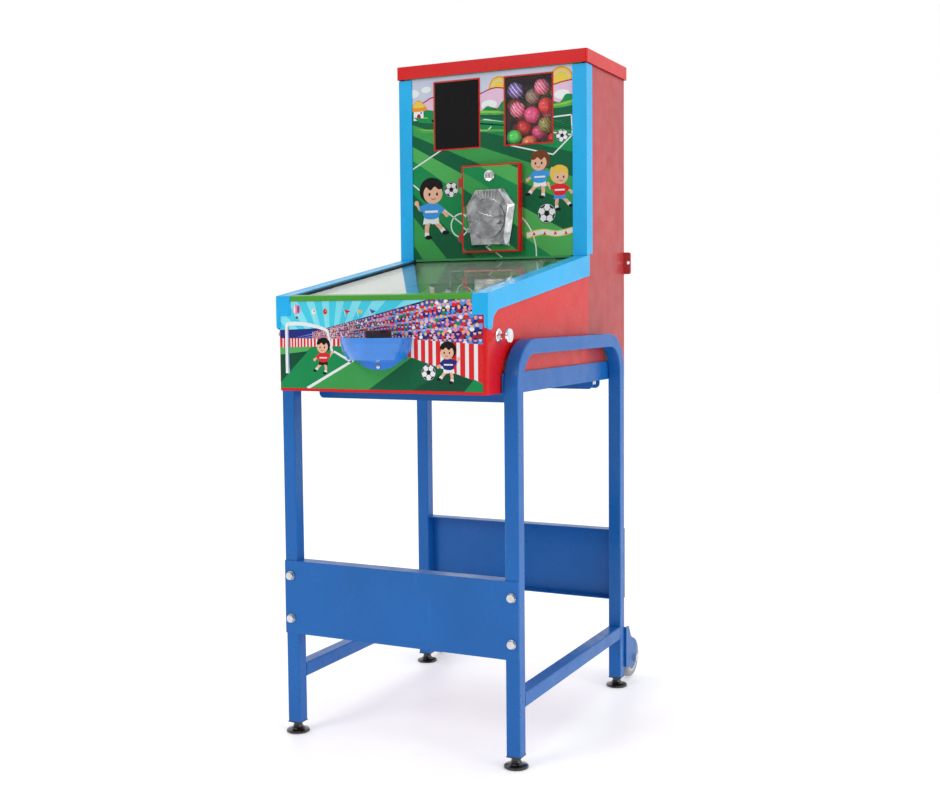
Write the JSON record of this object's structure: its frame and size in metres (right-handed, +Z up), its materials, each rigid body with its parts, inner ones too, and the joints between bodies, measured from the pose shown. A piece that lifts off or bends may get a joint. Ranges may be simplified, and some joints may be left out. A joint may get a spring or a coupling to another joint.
{
  "type": "ball vending flipper machine",
  "caption": "Coin-operated flipper table with a glass-topped sloped playfield, an upright ball tower and a wheeled tube stand.",
  "frame": {"origin": "middle of the bounding box on the floor plane under the levelling feet", "axes": "+Z up, the player stands at -Y and looks along +Y, +X to the player's right"},
  "size_m": [0.474, 0.7254, 1.24],
  "materials": {
    "frame_blue": "gloss powder coat",
    "cabinet_red": "gloss powder coat",
    "trim_blue": "gloss powder coat",
    "trim_green": "satin paint",
    "zinc_steel": "zinc plated",
    "sheet_steel": "galvanised",
    "chrome": "polished",
    "black_plastic": "matt",
    "foot_black": "gloss",
    "hub_grey": "satin moulded",
    "tyre_grey": "smooth rubber",
    "gasket_rubber": "matt",
    "playfield_glass": "polished",
    "window_acrylic": "polished",
    "printed_board": "printed and varnished",
    "printed_panel": "printed film",
    "goal_white": "gloss",
    "cup_blue": "gloss moulded",
    "flipper_yellow": "gloss moulded",
    "white_plastic": "satin moulded",
    "ball_rubber": "marbled gloss rubber"
  },
  "bodies": {
    "machine": {"side_frame_left": "frame_blue", "side_frame_right": "frame_blue", "lower_side_rails": "frame_blue", "stand_front_panel": "frame_blue", "stand_rear_panel": "frame_blue", "support_angles": "frame_blue", "cross_channels": "frame_blue", "bolts_and_screws": "zinc_steel", "leg_end_caps": "black_plastic", "wheel_brackets": "frame_blue", "wheel_axles": "zinc_steel", "playfield_cabinet": "cabinet_red", "side_trim_left": "trim_blue", "side_trim_right": "trim_blue", "lock_bar": "trim_green", "playfield_glass": "playfield_glass", "glass_gasket": "gasket_rubber", "playfield_board": "printed_board", "playfield_guides": "white_plastic", "goal_frame": "goal_white", "ball_cup": "cup_blue", "exit_chute": "sheet_steel", "button_bezels": "chrome", "button_spring_left": "zinc_steel", "button_spring_right": "zinc_steel", "rod_guides": "white_plastic", "tower_cabinet": "cabinet_red", "corner_posts": "trim_blue", "tower_front_panel": "printed_panel", "window_frames": "cabinet_red", "window_pane_left": "window_acrylic", "window_pane_right": "window_acrylic", "ball_hopper": "sheet_steel", "bouncy_balls": "ball_rubber", "wheel_housing": "sheet_steel", "ball_chute": "white_plastic", "cash_box": "sheet_steel", "hinges": "zinc_steel"},
    "wheel_left": {"tyre_left": "tyre_grey", "wheel_hub_left": "hub_grey"},
    "wheel_right": {"tyre_right": "tyre_grey", "wheel_hub_right": "hub_grey"},
    "front_left_foot": {"foot_front_left": "foot_black"},
    "front_right_foot": {"foot_front_right": "foot_black"},
    "rear_left_foot": {"foot_rear_left": "foot_black"},
    "rear_right_foot": {"foot_rear_right": "foot_black"},
    "left_button": {"flipper_button_left": "chrome"},
    "right_button": {"flipper_button_right": "chrome"},
    "left_flipper": {"flipper_left": "flipper_yellow", "flipper_crank_left": "zinc_steel"},
    "right_flipper": {"flipper_right": "flipper_yellow", "flipper_crank_right": "zinc_steel"},
    "coin_door": {"coin_door": "cabinet_red", "coin_mechanism": "chrome", "lock_barrel": "chrome"},
    "coin_knob": {"coin_knob": "chrome"},
    "lock_cam": {"lock_cam": "zinc_steel"},
    "dispensing_wheel": {"dispensing_wheel": "white_plastic"},
    "top_lid": {"top_lid": "cabinet_red"},
    "rear_door": {"rear_door": "cabinet_red"}
  },
  "joints": [
    {"name": "left_wheel_spin", "type": "hinge", "parent": "machine", "child": "wheel_left", "pos_m": [-0.216, 0.32275, 0.043], "axis": [1, 0, 0], "continuous": true},
    {"name": "right_wheel_spin", "type": "hinge", "parent": "machine", "child": "wheel_right", "pos_m": [0.216, 0.32275, 0.043], "axis": [1, 0, 0], "continuous": true},
    {"name": "front_left_foot_thread", "type": "slide", "parent": "machine", "child": "front_left_foot", "axis": [0, 0, -1], "range_m": [0, 0.012]},
    {"name": "front_right_foot_thread", "type": "slide", "parent": "machine", "child": "front_right_foot", "axis": [0, 0, -1], "range_m": [0, 0.012]},
    {"name": "rear_left_foot_thread", "type": "slide", "parent": "machine", "child": "rear_left_foot", "axis": [0, 0, -1], "range_m": [0, 0.012]},
    {"name": "rear_right_foot_thread", "type": "slide", "parent": "machine", "child": "rear_right_foot", "axis": [0, 0, -1], "range_m": [0, 0.012]},
    {"name": "left_button_push", "type": "slide", "parent": "machine", "child": "left_button", "axis": [1, 0, 0], "range_m": [0, 0.01], "stiffness_N_per_m": 150, "springref_m": -0.01, "deforming": ["button_spring_left"]},
    {"name": "left_flipper_swing", "type": "hinge", "parent": "machine", "child": "left_flipper", "pos_m": [-0.072, -0.24455, 0.74317], "axis": [0, -0.1654, 0.9862], "range_deg": [0, 33]},
    {"name": "right_button_push", "type": "slide", "parent": "machine", "child": "right_button", "axis": [-1, 0, 0], "range_m": [0, 0.01], "stiffness_N_per_m": 150, "springref_m": -0.01, "deforming": ["button_spring_right"]},
    {"name": "right_flipper_swing", "type": "hinge", "parent": "machine", "child": "right_flipper", "pos_m": [0.072, -0.24455, 0.74317], "axis": [0, -0.1654, 0.9862], "range_deg": [-33, 0]},
    {"name": "coin_door_swing", "type": "hinge", "parent": "machine", "child": "coin_door", "pos_m": [-0.0583, 0.13755, 0.9515], "axis": [0, 0, -1], "range_deg": [0, 100]},
    {"name": "coin_knob_turn", "type": "hinge", "parent": "coin_door", "child": "coin_knob", "pos_m": [0.0053, 0.12575, 0.93], "axis": [0, 1, 0], "continuous": true},
    {"name": "dispensing_wheel_turn", "type": "hinge", "parent": "machine", "child": "dispensing_wheel", "pos_m": [0.0053, 0.22375, 0.93], "axis": [0, 1, 0], "continuous": true},
    {"name": "lock_cam_turn", "type": "hinge", "parent": "coin_door", "child": "lock_cam", "pos_m": [0.0053, 0.12575, 1.014], "axis": [0, -1, 0], "range_deg": [0, 90]},
    {"name": "top_lid_lift", "type": "hinge", "parent": "machine", "child": "top_lid", "pos_m": [0, 0.35995, 1.2115], "axis": [-1, 0, 0], "range_deg": [0, 100]},
    {"name": "rear_door_swing", "type": "hinge", "parent": "machine", "child": "rear_door", "pos_m": [-0.191, 0.35925, 0.921], "axis": [0, 0, 1], "range_deg": [0, 110]}
  ],
  "couplings": [
    {"joint": "left_flipper_swing", "follows": "left_button_push", "rad_per_m": 55.85},
    {"joint": "right_flipper_swing", "follows": "right_button_push", "rad_per_m": -55.85},
    {"joint": "dispensing_wheel_turn", "follows": "coin_knob_turn", "ratio": 1}
  ]
}
